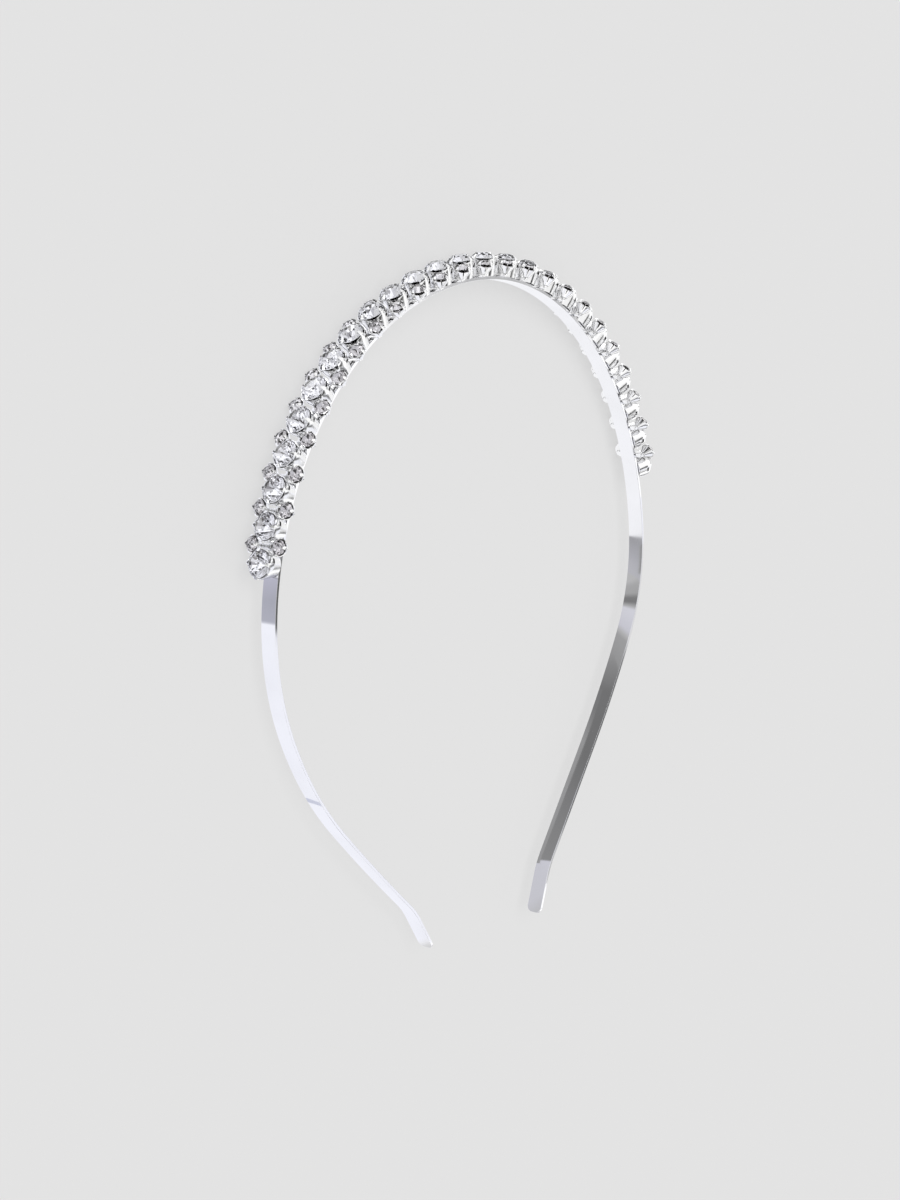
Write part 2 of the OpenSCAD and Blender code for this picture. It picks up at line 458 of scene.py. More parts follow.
def plating_wear_group():
    """Smudges, fine scratches and a slightly uneven skin on plated metal."""
    name = "Plating wear"
    if name in bpy.data.node_groups:
        return bpy.data.node_groups[name]
    sheet, given, result = new_group(
        name,
        [
            ("Vector", "NodeSocketVector", None),
            ("Stretch", "NodeSocketVector", (1, 1, 1)),
            ("Scratch Scale", "NodeSocketFloat", 900.0),
            ("Smudge Scale", "NodeSocketFloat", 60.0),
            ("Roughness", "NodeSocketFloat", 0.1),
            ("Spread", "NodeSocketFloat", 0.08),
            ("Colour", "NodeSocketColor", (0.9, 0.9, 0.9, 1)),
            ("Worn Colour", "NodeSocketColor", (0.8, 0.8, 0.78, 1)),
        ],
        [
            ("Colour", "NodeSocketColor"),
            ("Roughness", "NodeSocketFloat"),
            ("Height", "NodeSocketFloat"),
        ],
    )
    drawn = sheet.node(
        "ShaderNodeVectorMath", {0: given["Vector"], 1: given["Stretch"]}, operation="MULTIPLY"
    )
    scratch = sheet.node(
        "ShaderNodeTexNoise",
        {"Vector": drawn.outputs[0], "Scale": given["Scratch Scale"], "Detail": 3.0},
    )
    lines = sheet.ramp(scratch.outputs["Fac"], [(0.35, 0.0), (0.52, 0.5), (0.7, 1.0)])
    smudge = sheet.node(
        "ShaderNodeTexNoise",
        {"Vector": given["Vector"], "Scale": given["Smudge Scale"], "Detail": 4.0},
    )
    patches = sheet.ramp(smudge.outputs["Fac"], [(0.42, 0.0), (0.68, 1.0)])
    both = sheet.node(
        "ShaderNodeMath", {0: lines, 1: 0.45, 2: patches}, operation="MULTIPLY_ADD"
    )
    rough = sheet.node(
        "ShaderNodeMath",
        {0: both.outputs[0], 1: given["Spread"], 2: given["Roughness"]},
        operation="MULTIPLY_ADD",
    )
    share = sheet.node("ShaderNodeMath", {0: patches, 1: 0.5}, operation="MULTIPLY")
    colour = sheet.node(
        "ShaderNodeMix",
        {"Factor": share.outputs[0], "A": given["Colour"], "B": given["Worn Colour"]},
        data_type="RGBA",
    )
    height = sheet.node(
        "ShaderNodeMath",
        {0: scratch.outputs["Fac"], 1: 0.6, 2: smudge.outputs["Fac"]},
        operation="MULTIPLY_ADD",
    )
    sheet.feed(
        result,
        {
            "Colour": colour.outputs["Result"],
            "Roughness": rough.outputs[0],
            "Height": height.outputs[0],
        },
    )
    return sheet.tree


def glass_wear_group():
    """Faint wipe marks and dust on the facets of cut glass."""
    name = "Glass wear"
    if name in bpy.data.node_groups:
        return bpy.data.node_groups[name]
    sheet, given, result = new_group(
        name,
        [
            ("Vector", "NodeSocketVector", None),
            ("Scale", "NodeSocketFloat", 2500.0),
            ("Roughness", "NodeSocketFloat", 0.0),
            ("Spread", "NodeSocketFloat", 0.03),
            ("Colour", "NodeSocketColor", (1, 1, 1, 1)),
            ("Dust Colour", "NodeSocketColor", (0.9, 0.9, 0.9, 1)),
        ],
        [
            ("Colour", "NodeSocketColor"),
            ("Roughness", "NodeSocketFloat"),
            ("Height", "NodeSocketFloat"),
        ],
    )
    marks = sheet.node(
        "ShaderNodeTexNoise",
        {"Vector": given["Vector"], "Scale": given["Scale"], "Detail": 4.0},
    )
    dust = sheet.ramp(marks.outputs["Fac"], [(0.5, 0.0), (0.72, 1.0)])
    rough = sheet.node(
        "ShaderNodeMath",
        {0: dust, 1: given["Spread"], 2: given["Roughness"]},
        operation="MULTIPLY_ADD",
    )
    colour = sheet.node(
        "ShaderNodeMix",
        {"Factor": dust, "A": given["Colour"], "B": given["Dust Colour"]},
        data_type="RGBA",
    )
    sheet.feed(
        result,
        {
            "Colour": colour.outputs["Result"],
            "Roughness": rough.outputs[0],
            "Height": marks.outputs["Fac"],
        },
    )
    return sheet.tree


def new_material(name):
    """A material with only its Principled shader and output, and a sheet to draw on."""
    material = bpy.data.materials.new(name)
    material.use_nodes = True
    shader = material.node_tree.nodes["Principled BSDF"]
    return material, Sheet(material.node_tree), shader


def plated_metal(name, colour, worn, roughness, spread, bump, coordinates, stretch, scales):
    """Polished plating with its wear, drawn along the given coordinates."""
    material, sheet, shader = new_material(name)
    if coordinates == "Object":
        vector = sheet.node("ShaderNodeTexCoord").outputs["Object"]
    else:
        vector = sheet.node("ShaderNodeUVMap", uv_map=coordinates).outputs["UV"]
    scratch_scale, smudge_scale = scales
    wear = sheet.node(
        "ShaderNodeGroup",
        {
            "Vector": vector,
            "Stretch": stretch,
            "Scratch Scale": scratch_scale,
            "Smudge Scale": smudge_scale,
            "Roughness": roughness,
            "Spread": spread,
            "Colour": (*colour, 1),
            "Worn Colour": (*worn, 1),
        },
        node_tree=plating_wear_group(),
    )
    bumped = sheet.node(
        "ShaderNodeBump",
        {"Height": wear.outputs["Height"], "Strength": bump, "Distance": 0.02 * MM},
    )
    sheet.feed(
        shader.inputs,
        {
            "Base Color": wear.outputs["Colour"],
            "Roughness": wear.outputs["Roughness"],
            "Normal": bumped.outputs["Normal"],
            "Metallic": 1.0,
        },
    )
    return material


def cut_glass(name, colour, dust, spread):
    """Clear cut glass with faint wipe marks on its facets."""
    material, sheet, shader = new_material(name)
    wear = sheet.node(
        "ShaderNodeGroup",
        {
            "Vector": sheet.node("ShaderNodeTexCoord").outputs["Object"],
            "Spread": spread,
            "Colour": (*colour, 1),
            "Dust Colour": (*dust, 1),
        },
        node_tree=glass_wear_group(),
    )
    bumped = sheet.node(
        "ShaderNodeBump",
        {"Height": wear.outputs["Height"], "Strength": 0.03, "Distance": 0.01 * MM},
    )
    sheet.feed(
        shader.inputs,
        {
            "Base Color": wear.outputs["Colour"],
            "Roughness": wear.outputs["Roughness"],
            "Normal": bumped.outputs["Normal"],
            "Metallic": 0.0,
            "IOR": 1.57,
            "Transmission Weight": 1.0,
        },
    )
    return material


# ---------------------------------------------------------------- mesh tools


def finish_piece(name, bm, materials, nodes, smooth=None):
    """Turns a bmesh into a piece that rides on the headband and stands for CAD nodes."""
    mesh = bpy.data.meshes.new(name)
    bm.to_mesh(mesh)
    bm.free()
    for material in materials:
        mesh.materials.append(material)
    if smooth is not None:
        mesh.shade_smooth()
        mesh.set_sharp_from_angle(angle=smooth)
    piece = bpy.data.objects.new(name, mesh)
    bpy.context.scene.collection.objects.link(piece)
    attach(piece, "root")
    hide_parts(*nodes)
    return piece


def bevel(bm, edges, radius, segments):
    """Rounds edges of a bmesh."""
    bmesh.ops.bevel(
        bm,
        geom=edges,
        offset=radius,
        offset_type="OFFSET",
        segments=segments,
        profile=0.5,
        affect="EDGES",
        clamp_overlap=True,
        material=-1,
    )


def add_copies(bm, template, matrices):
    """Joins copies of a template mesh into a bmesh, one at each matrix."""
    for matrix in matrices:
        copy = template.copy()
        copy.transform(matrix)
        bm.from_mesh(copy)
        bpy.data.meshes.remove(copy)


def template_mesh(bm):
    """A bmesh as a mesh to copy, with its faces turned outwards."""
    mesh = bpy.data.meshes.new("template")
    bmesh.ops.recalc_face_normals(bm, faces=bm.faces)
    bm.to_mesh(mesh)
    bm.free()
    return mesh


# ---------------------------------------------------------------- the band


def straight_band(settings):
    """The band before it is bent: X along it, Y through its thickness, Z across it."""
    bm = bmesh.new()
    bmesh.ops.create_cube(bm, size=1.0)
    size = Vector((2 * HALF_LENGTH, settings.band_thickness, settings.band_width))
    bmesh.ops.scale(bm, vec=size, verts=bm.verts)
    corners = [e for e in bm.edges if abs(e.verts[0].co.y - e.verts[1].co.y) > 0.5 * size.y]
    bevel(bm, corners, settings.tip_radius, TIP_SEGMENTS)
    rims = [e for e in bm.edges if abs(e.verts[0].co.y - e.verts[1].co.y) < 0.5 * size.y]
    bevel(bm, rims, settings.edge_radius, EDGE_SEGMENTS)
    for i in range(1, BAND_SECTIONS):
        cut = HALF_LENGTH * (2 * i / BAND_SECTIONS - 1)
        bmesh.ops.bisect_plane(
            bm,
            geom=bm.verts[:] + bm.edges[:] + bm.faces[:],
            plane_co=(cut, 0, 0),
            plane_no=(1, 0, 0),
        )
    return bm


def bend_along_arch(bm):
    """Lays a UV map along the straight band, then bends it to the arch."""
    layer = bm.loops.layers.uv.new("along_band")
    for face in bm.faces:
        for loop in face.loops:
            loop[layer].uv = (loop.vert.co.x, loop.vert.co.z)
    for vert in bm.verts:
        x, y = arch_point(vert.co.x, vert.co.y)
        vert.co = CROWN + Vector((x, y, vert.co.z))


class HEADBAND_OT_band(bpy.types.Operator):
    """Builds the bent metal band"""

    bl_idname = "headband.band"
    bl_label = "Band"

    def execute(self, context):
        settings = context.scene.headband_plating
        bm = straight_band(settings)
        bend_along_arch(bm)
        bmesh.ops.recalc_face_normals(bm, faces=bm.faces)
        material = plated_metal(
            "Polished band plating",
            colour=settings.band_colour,
            worn=(0.84, 0.84, 0.85),
            roughness=0.05,
            spread=0.06,
            bump=0.10,
            coordinates="along_band",
            stretch=(1, 30, 1),
            scales=(260.0, 90.0),
        )
        finish_piece(
            "bent_band", bm, [material], ["band"], smooth=BAND_SHARP_ANGLE
        )
        return {"FINISHED"}


# ---------------------------------------------------------------- the claw strip


def column_angle(column, claw_half):
    """Angle of a column edge from its claw's middle, within the quarter turn to the next."""
    if column <= CLAW_COLUMNS:
        return claw_half * column / CLAW_COLUMNS
    if column == CLAW_COLUMNS + 1:
        return 45 - SLIT_HALF_ANGLE
    return 90 - column_angle(QUARTER_COLUMNS - column, claw_half)


def cup_shell(rows, window_row, sheet, slit_row=None, slot_row=None):
    """A cup's sheet metal: a skin spun from its rows, cut open between four claws."""
    bm = bmesh.new()
    points = [bm.verts.new((r * MM, 0, z * MM)) for r, z, _ in rows]
    edges = [bm.edges.new(pair) for pair in zip(points, points[1:])]
    step = math.pi / 2 / QUARTER_COLUMNS
    bmesh.ops.spin(
        bm,
        geom=points + edges,
        cent=(0, 0, 0),
        axis=(0, 0, 1),
        steps=4 * QUARTER_COLUMNS,
        angle=2 * math.pi,
        use_merge=True,
    )
    bmesh.ops.remove_doubles(bm, verts=bm.verts, dist=WELD_DISTANCE)
    heights = [z * MM for _, z, _ in rows]

    def row_of(z):
        """The row whose height is nearest."""
        return min(range(len(rows)), key=lambda i: abs(heights[i] - z))

    open_faces = []
    for face in bm.faces:
        middle = face.calc_center_median()
        turn = math.atan2(middle.y, middle.x) % (2 * math.pi) / step
        quarter, column = divmod(int(turn), QUARTER_COLUMNS)
        row = min(row_of(v.co.z) for v in face.verts)
        between = CLAW_COLUMNS <= column < CLAW_COLUMNS + OPEN_COLUMNS
        in_window = row >= window_row and between
        in_slit = slit_row is not None and row >= slit_row and column == CLAW_COLUMNS + 1
        in_slot = row == slot_row and quarter % 2 and column in SLOT_COLUMNS
        if in_window or in_slit or in_slot:
            open_faces.append(face)
    for vert in bm.verts:
        turn = round(math.atan2(vert.co.y, vert.co.x) % (2 * math.pi) / step)
        quarter, column = divmod(turn, QUARTER_COLUMNS)
        radius = math.hypot(vert.co.x, vert.co.y)
        angle = math.radians(90 * quarter + column_angle(column, rows[row_of(vert.co.z)][2]))
        vert.co.x = radius * math.cos(angle)
        vert.co.y = radius * math.sin(angle)
    bmesh.ops.delete(bm, geom=open_faces, context="FACES")
    bmesh.ops.recalc_face_normals(bm, faces=bm.faces)
    bmesh.ops.solidify(bm, geom=bm.faces[:], thickness=sheet)
    return bm


def shade_inside(bm, floor, slot=(0, 0)):
    """Gives the dark inner metal, painted shade, to the faces above a floor that look inwards or
    line a slot.
    """
    bmesh.ops.recalc_face_normals(bm, faces=bm.faces)
    low, high = slot
    for face in bm.faces:
        middle = face.calc_center_median()
        outwards = face.normal.dot(Vector((middle.x, middle.y, 0)).normalized())
        # Inward faces above the floor and the walls of a slot get the dark painted shade
        inner = outwards < INNER_FACING and middle.z > floor * MM
        in_slot = low * MM - WELD_DISTANCE < middle.z < high * MM + WELD_DISTANCE
        lining = in_slot and outwards < LINING_FACING
        face.material_index = 1 if inner or lining else 0


def disc(bm, low_radius, high_radius, low, high, segments):
    """Adds a closed round plate or foot of the bright metal between two heights."""
    bmesh.ops.create_cone(
        bm,
        cap_ends=True,
        cap_tris=False,
        segments=segments,
        radius1=low_radius * MM,
        radius2=high_radius * MM,
        depth=(high - low) * MM,
        matrix=Matrix.Translation((0, 0, (low + high) / 2 * MM)),
    )


def large_cup(sheet):
    """The cup of a large stone, as a mesh to copy."""
    bm = cup_shell(LARGE_CUP_ROWS, LARGE_WINDOW_ROW, sheet, slot_row=LARGE_SLOT_ROW)
    slot = [LARGE_CUP_ROWS[LARGE_SLOT_ROW + i][1] for i in (0, 1)]
    shade_inside(bm, LARGE_FLOOR, slot)
    for measures in LARGE_DISCS:
        disc(bm, *measures)
    return template_mesh(bm)


def small_cup(sheet):
    """The cup of a small stone, as a mesh to copy."""
    bm = cup_shell(SMALL_CUP_ROWS, SMALL_WINDOW_ROW, sheet, slit_row=SMALL_SLIT_ROW)
    shade_inside(bm, SMALL_FLOOR)
    for measures in SMALL_DISCS:
        disc(bm, *measures)
    return template_mesh(bm)


def flat_bar(length, width):
    """A flat bar of the strip with rounded edges."""
    bm = bmesh.new()
    bmesh.ops.create_cube(bm, size=1.0)
    bmesh.ops.scale(bm, vec=(length, width, LINK_HIGH - LINK_LOW), verts=bm.verts)
    bmesh.ops.translate(bm, vec=(0, 0, (LINK_HIGH + LINK_LOW) / 2), verts=bm.verts)
    bevel(bm, bm.edges[:], BAR_EDGE_RADIUS, BAR_EDGE_SEGMENTS)
    return template_mesh(bm)


class HEADBAND_OT_claw_strip(bpy.types.Operator):
    """Builds the soldered strip of claw cups, links and cross bars"""

    bl_idname = "headband.claw_strip"
    bl_label = "Claw strip"

    def execute(self, context):
        settings = context.scene.headband_plating
        bm = bmesh.new()
        sides = (1, -1)
        add_copies(bm, large_cup(settings.sheet), [on_band(s) for s in LARGE_AT])
        add_copies(
            bm,
            small_cup(SMALL_SHEET_SHARE * settings.sheet),
            [on_bar(s, side) for s in SMALL_AT for side in sides],
        )
        gaps = [on_band(s) for s in SMALL_AT]
        add_copies(bm, flat_bar(PITCH + LINK_OVERLAP, LINK_WIDTH), gaps)
        add_copies(bm, flat_bar(CROSS_BAR_WIDTH, 2 * SMALL_OFFSET), gaps)
        material = plated_metal(
            "Bright cup plating",
            colour=settings.cup_colour,
            worn=(0.86, 0.86, 0.85),
            roughness=0.10,
            spread=0.10,
            bump=0.25,
            coordinates="Object",
            stretch=(1, 1, 1),
            scales=(1800.0, 420.0),
        )
        # Dark metal inside the cups and lining their slots: painted shade, with faint scratches
        # and smudges
        inner = plated_metal(
            "Bare inner metal",
            colour=settings.inner_shade_colour,
            worn=(0.20, 0.19, 0.18),
            roughness=0.35,
            spread=0.2,
            bump=0.3,
            coordinates="Object",
            stretch=(1, 1, 1),
            scales=(1500.0, 500.0),
        )
        finish_piece(
            "claw_cups",
            bm,
            [material, inner],
            ["claw_strip"],
            smooth=CUP_SHARP_ANGLE,
        )
        return {"FINISHED"}


# ---------------------------------------------------------------- the stones


def stone_materials(settings, kind, foil_colour):
    """Clear glass above, mirror foil below."""
    glass = cut_glass(
        f"{kind} glass",
        colour=settings.glass_colour,
        dust=(0.90, 0.91, 0.93),
        spread=0.03,
    )
    foil = plated_metal(
        f"{kind} foil",
        colour=foil_colour,
        worn=(0.80, 0.80, 0.82),
        roughness=0.02,
        spread=0.05,
        bump=0.05,
        coordinates="Object",
        stretch=(1, 1, 1),
        scales=(2600.0, 700.0),
    )
    return [glass, foil]


def lay_stone(bm, verts, stand, girdle, chance, turn_spread):
    """Turns one stone in its cup by chance and tips it a little, about its own girdle."""
    turn = chance.uniform(-0.5, 0.5) * turn_spread
    tip = math.radians(chance.uniform(-MOST_TIP, MOST_TIP))
    centre = stand @ Vector((0, 0, girdle))
    outward = stand.to_3x3() @ Vector((0, 0, 1))
    along = stand.to_3x3() @ Vector((1, 0, 0))
    spin = Matrix.Rotation(tip, 3, along) @ Matrix.Rotation(turn, 3, outward)
    bmesh.ops.rotate(bm, cent=centre, matrix=spin, verts=verts)


def facet_stones(node):
    """A CAD stone's own facets, as a mesh with whole faces."""
    bm = bmesh.new()
    bm.from_mesh(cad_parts[node].data)
    bmesh.ops.remove_doubles(bm, verts=bm.verts, dist=WELD_DISTANCE)
    bmesh.ops.dissolve_limit(
        bm,
        angle_limit=FACET_ANGLE,
        use_dissolve_boundaries=False,
        verts=bm.verts,
        edges=bm.edges,
    )
    return bm


def foil_underside(faces, outward):
    """Gives the foil to the facets that face the band."""
    for face in faces:
        face.smooth = False
        face.material_index = 1 if face.normal.dot(outward) < FOIL_FACING else 0


class HEADBAND_OT_large_stones(bpy.types.Operator):
    """Cuts and foils the large stones along the middle"""

    bl_idname = "headband.large_stones"
    bl_label = "Large stones"

    def execute(self, context):
        settings = context.scene.headband_stones
        materials = stone_materials(settings, "Large stone", settings.foil_colour)
        chance = random.Random(settings.seed)
        for i, s in enumerate(LARGE_AT):
            node = f"crystal_{i + 1:02d}"
            bm = facet_stones(node)
            stand = on_band(s)
            lay_stone(bm, bm.verts, stand, LARGE_GIRDLE, chance, settings.turn_spread)
            bm.normal_update()
            foil_underside(bm.faces, stand.to_3x3() @ Vector((0, 0, 1)))
            finish_piece(f"cut_stone_{i + 1:02d}", bm, materials, [node])
        return {"FINISHED"}


class HEADBAND_OT_small_stones(bpy.types.Operator):
    """Cuts and foils the small stones along both edges"""

    bl_idname = "headband.small_stones"
    bl_label = "Small stones"

    def execute(self, context):
        settings = context.scene.headband_stones
        materials = stone_materials(settings, "Small stone", settings.small_foil_colour)
        chance = random.Random(settings.seed + 1)
        for name, side in (("front", 1), ("back", -1)):
            node = f"{name}_side_crystals"
            bm = facet_stones(node)
            for s in SMALL_AT:
                stand = on_bar(s, side)
                centre = stand @ Vector((0, 0, SMALL_GIRDLE))
                reach = STONE_REACH * SMALL_DIAMETER
                near = [v for v in bm.verts if (v.co - centre).length < reach]
                lay_stone(bm, near, stand, SMALL_GIRDLE, chance, settings.turn_spread)
                bm.normal_update()
                own = {f for v in near for f in v.link_faces}
                foil_underside(own, stand.to_3x3() @ Vector((0, 0, 1)))
            finish_piece(f"{name}_small_stones", bm, materials, [node])
        return {"FINISHED"}


# ---------------------------------------------------------------- the stage

# Tones of white that the arms mirror: the left arm's, and the brighter right one's
LEFT_WHITE = (0.94, 0.95, 1.01)
RIGHT_WHITE = (0.96, 0.965, 0.985)

# Heights of the cards near the floor, of those laid over them, of the ring and of the flags
CARD_HEIGHT = 0.3 * MM
RAISED_CARD_HEIGHT = 0.36 * MM
RING_HEIGHT = 0.45 * MM
FLAG_HEIGHT = 60 * MM

# Cards of the studio that only shiny surfaces see. A card's tone changes along a direction,
# by stops of a distance in millimetres and a tone. Its two corners are in metres, and it is
# turned about the frame's origin by an angle in degrees.
Card = namedtuple("Card", "name direction stops low high height turn", defaults=(CARD_HEIGHT, 0))
CARDS = (
    Card(
        "upper_left_card",
        (0.2, 0.98),
        (
            (2, (0.43, 0.435, 0.50)),
            (5, (0.47, 0.47, 0.55)),
            (6.8, (0.50, 0.50, 0.59)),
            (7.2, LEFT_WHITE),
        ),
        (-0.3, 0.015),
        (-0.004, 0.3),
    ),
    Card(
        "left_card",
        (-0.1, 0.99),
        (
            (-80, LEFT_WHITE),
            (16.2, LEFT_WHITE),
            (16.7, (0.455, 0.46, 0.525)),
            (21.3, (0.43, 0.435, 0.50)),
        ),
        (-0.3, -0.3),
        (-0.004, 0.015),
    ),
    Card(
        "glint_card",
        (0, 1),
        ((-1, (0.62, 0.64, 0.75)), (1, (0.62, 0.64, 0.75))),
        (-0.0524, -0.0365),
        (-0.0516, -0.0305),
        RAISED_CARD_HEIGHT,
    ),
    Card(
        "upper_right_card",
        (-0.17, 0.98),
        (
            (-12.6, (0.50, 0.50, 0.53)),
            (-11, (0.48, 0.48, 0.51)),
            (-9.8, (0.44, 0.44, 0.47)),
            (-6.6, (0.36, 0.36, 0.38)),
            (-6.3, RIGHT_WHITE),
        ),
        (-0.004, -0.004),
        (0.3, 0.3),
    ),
    Card(
        "far_edge_card",
        (0.603, 0.797),
        ((-36, 0.33), (-8, 0.33), (0, 0.2), (6, 0.2)),
        (-0.0393, -0.0519),
        (0.0047, -0.0479),
        RAISED_CARD_HEIGHT,
        52.9,
    ),
    Card(
        "tip_card",
        (0.99, -0.5),
        ((13.2, LEFT_WHITE), (14.3, (0.88, 0.88, 0.90)), (15.1, 0.74), (15.9, 0.67)),
        (-0.0245, -0.079),
        (-0.0195, -0.069),
        RAISED_CARD_HEIGHT,
    ),
    Card(
        "shade_card",
        (0.97, -0.25),
        ((46.6, 0.2), (47.2, 0.26), (48, 0.38)),
        (0.044, 0.009),
        (0.048, 0.0131),
        RAISED_CARD_HEIGHT,
        -14.5,
    ),
    Card(
        "middle_right_card",
        (0.43, 0.9),
        (
            (3.5, 0.33),
            (7.6, 0.36),
            (8.5, 0.47),
            (9.5, (0.60, 0.60, 0.65)),
            (12.7, (0.68, 0.68, 0.73)),
            (13.1, 0.45),
            (13.8, 0.20),
            (14.5, 0.22),
            (15.2, 0.39),
            (16.5, 0.41),
            (17.4, 0.50),
        ),
        (-0.004, -0.018),
        (0.3, -0.004),
    ),
    Card(
        "lower_right_card",
        (0.75, 0.66),
        (
            (-42, (0.52, 0.52, 0.53)),
            (-38, (0.60, 0.60, 0.64)),
            (-28, (0.62, 0.62, 0.67)),
            (-27.4, 0.26),
            (-16, 0.23),
            (-8, 0.20),
            (0, 0.175),
            (14, 0.18),
            (20, 0.27),
            (23, 0.34),
        ),
        (-0.004, -0.3),
        (0.3, -0.018),
    ),
    Card(
        "left_flag",
        (0, 1),
        ((-60, LEFT_WHITE), (-11, LEFT_WHITE), (-9, 0.12), (7, 0.12), (9, LEFT_WHITE)),
        (-0.015, -0.1),
        (0.06, 0.012),
        FLAG_HEIGHT,
    ),
    Card(
        "right_flag",
        (0, 1),
        ((-90, 0.55), (-85, 0.2), (-48, 0.2), (-43, 0.72), (-18, 0.76), (-17, LEFT_WHITE)),
        (0.07, -0.1),
        (0.14, -0.005),
        FLAG_HEIGHT,
    ),
)

# The bright ring that lies outside the strip, measured from the band's middle line: a share
# of its patches glows more strongly than the rest
RING_HALF_LENGTH = 83 * MM
RING_MIDDLE = 10.5 * MM
RING_HALF_WIDTH = 4 * MM
RING_SECTIONS = 80
RING_PATCH_SCALE = 260.0
RING_CALM_SHARE = 0.62
RING_CALM_BLEND = 0.02
RING_CALM_TONE = 0.94
RING_STRONGEST = 3.5

# The room that shiny metal sees, and the one that shows through the stones: the size of its
# patches, and the tone of each share of them
ROOM_PATCH_SCALE = 2.6
METAL_ROOM = ((0.0, 0.06), (0.06, 0.5), (0.15, 0.95), (0.50, 1.15))
STONE_ROOM = (
    (0.0, (0.04, 0.03, 0.03)),
    (0.19, (0.28, 0.27, 0.29)),
    (0.38, (0.62, 0.62, 0.65)),
    (0.68, (1.25, 1.25, 1.28)),
)
# The stones' room grows lighter towards a window beyond the crown
WINDOW_DIRECTION = (0.15, 0.85, 0.0)
WINDOW_TONE = (1.2, 1.2, 1.22, 1)

BACKDROP_HEIGHT = -0.02 * MM
KEY_SPREAD = math.radians(50)
KEY_TURN = (math.radians(-18), math.radians(-22), 0)


def stage_plane(name, low, high, height, material):
    """A flat piece of studio paper or card."""
    bm = bmesh.new()
    bmesh.ops.create_grid(bm, x_segments=1, y_segments=1, size=0.5)
    bmesh.ops.scale(bm, vec=(high[0] - low[0], high[1] - low[1], 1), verts=bm.verts)
    middle = ((low[0] + high[0]) / 2, (low[1] + high[1]) / 2, height)
    bmesh.ops.translate(bm, vec=middle, verts=bm.verts)
    mesh = bpy.data.meshes.new(name)
    bm.to_mesh(mesh)
    bm.free()
    mesh.materials.append(material)
    plane = bpy.data.objects.new(name, mesh)
    bpy.context.scene.collection.objects.link(plane)
    return plane


def show_in_reflections_only(card):
    """Hides a card from the camera, from paper and glass, and casts no shadow from it."""
    card.visible_camera = False
    card.visible_shadow = False
    card.visible_diffuse = False
    card.visible_transmission = False


def glowing_material(name):
    """An empty material, a sheet to draw on and a function that ends it with its glow."""
    material = bpy.data.materials.new(name)
    material.use_nodes = True
    material.node_tree.nodes.clear()
    sheet = Sheet(material.node_tree)

    def finish(tone, strength=1.0):
        """Adds the glow and the output."""
        glow = sheet.node("ShaderNodeEmission", {"Color": tone, "Strength": strength})
        sheet.node("ShaderNodeOutputMaterial", {"Surface": glow.outputs[0]})
        return material

    return sheet, finish


def card_material(name, direction, stops):
    """Glowing card whose tone changes along a direction, from stops of (mm, tone)."""
    sheet, finish = glowing_material(name)
    low, high = stops[0][0], stops[-1][0]
    measured = sheet.node(
        "ShaderNodeVectorMath",
        {0: sheet.node("ShaderNodeTexCoord").outputs["Object"], 1: (*direction, 0)},
        operation="DOT_PRODUCT",
    )
    along = sheet.node(
        "ShaderNodeMapRange",
        {"Value": measured.outputs["Value"], "From Min": low * MM, "From Max": high * MM},
    )
    shares = [((at - low) / (high - low), tone) for at, tone in stops]
    return finish(sheet.ramp(along.outputs["Result"], shares))


def reflection_card(card):
    """Lays one card of the table."""
    title = card.name.replace("_", " ").capitalize()
    material = card_material(title, card.direction, card.stops)
    plane = stage_plane(card.name, card.low, card.high, card.height, material)
    plane.data.transform(Matrix.Rotation(math.radians(card.turn), 4, "Z"))
    show_in_reflections_only(plane)


def glow_ring():
    """A patchy bright card along the outside of the strip, for the stones' sparkle."""
    sheet, finish = glowing_material("Glow ring")
    patches = sheet.node(
        "ShaderNodeTexVoronoi",
        {
            "Vector": sheet.node("ShaderNodeTexCoord").outputs["Object"],
            "Scale": RING_PATCH_SCALE,
        },
    )
    value = sheet.node("ShaderNodeSeparateColor", {0: patches.outputs["Color"]})
    tone = sheet.ramp(
        value.outputs[0],
        [(0.0, RING_CALM_TONE), (RING_CALM_SHARE, 1.0)],
        interpolation="CONSTANT",
    )
    strength = sheet.node(
        "ShaderNodeMapRange",
        {
            "Value": value.outputs[0],
            "From Min": RING_CALM_SHARE - RING_CALM_BLEND,
            "From Max": RING_CALM_SHARE,
            "To Min": 1.0,
            "To Max": RING_STRONGEST,
        },
    )
    material = finish(tone, strength.outputs["Result"])
    ring = stage_plane("glow_ring", (0, 0), (1, 1), 0, material)
    show_in_reflections_only(ring)
    bm = bmesh.new()
    bmesh.ops.create_grid(bm, x_segments=RING_SECTIONS, y_segments=1, size=1.0)
    for vert in bm.verts:
        x, y = arch_point(RING_HALF_LENGTH * vert.co.x, RING_MIDDLE + RING_HALF_WIDTH * vert.co.y)
        vert.co = Vector((CROWN.x + x, CROWN.y + y, RING_HEIGHT))
    bm.to_mesh(ring.data)
    bm.free()


def backdrop_material(settings):
    """Matt paper with a faint fibre, partly lit from below so that shadows stay faint."""
    material, sheet, shader = new_material("Backdrop paper")
    fibre = sheet.node(
        "ShaderNodeTexNoise",
        {
            "Vector": sheet.node("ShaderNodeTexCoord").outputs["Object"],
            "Scale": 900.0,
            "Detail": 3.0,
        },
    )
    bumped = sheet.node(
        "ShaderNodeBump",
        {"Height": fibre.outputs["Fac"], "Strength": 0.05, "Distance": 0.02 * MM},
    )
    lit = [settings.backdrop_glow * tone for tone in settings.backdrop_colour]
    matt = [(1 - settings.backdrop_glow) * tone for tone in settings.backdrop_colour]
    sheet.feed(
        shader.inputs,
        {
            "Base Color": (*matt, 1),
            "Emission Color": (*lit, 1),
            "Emission Strength": 1.0,
            "Roughness": 1.0,
            "Specular IOR Level": 0.0,
            "Normal": bumped.outputs["Normal"],
        },
    )
    return material


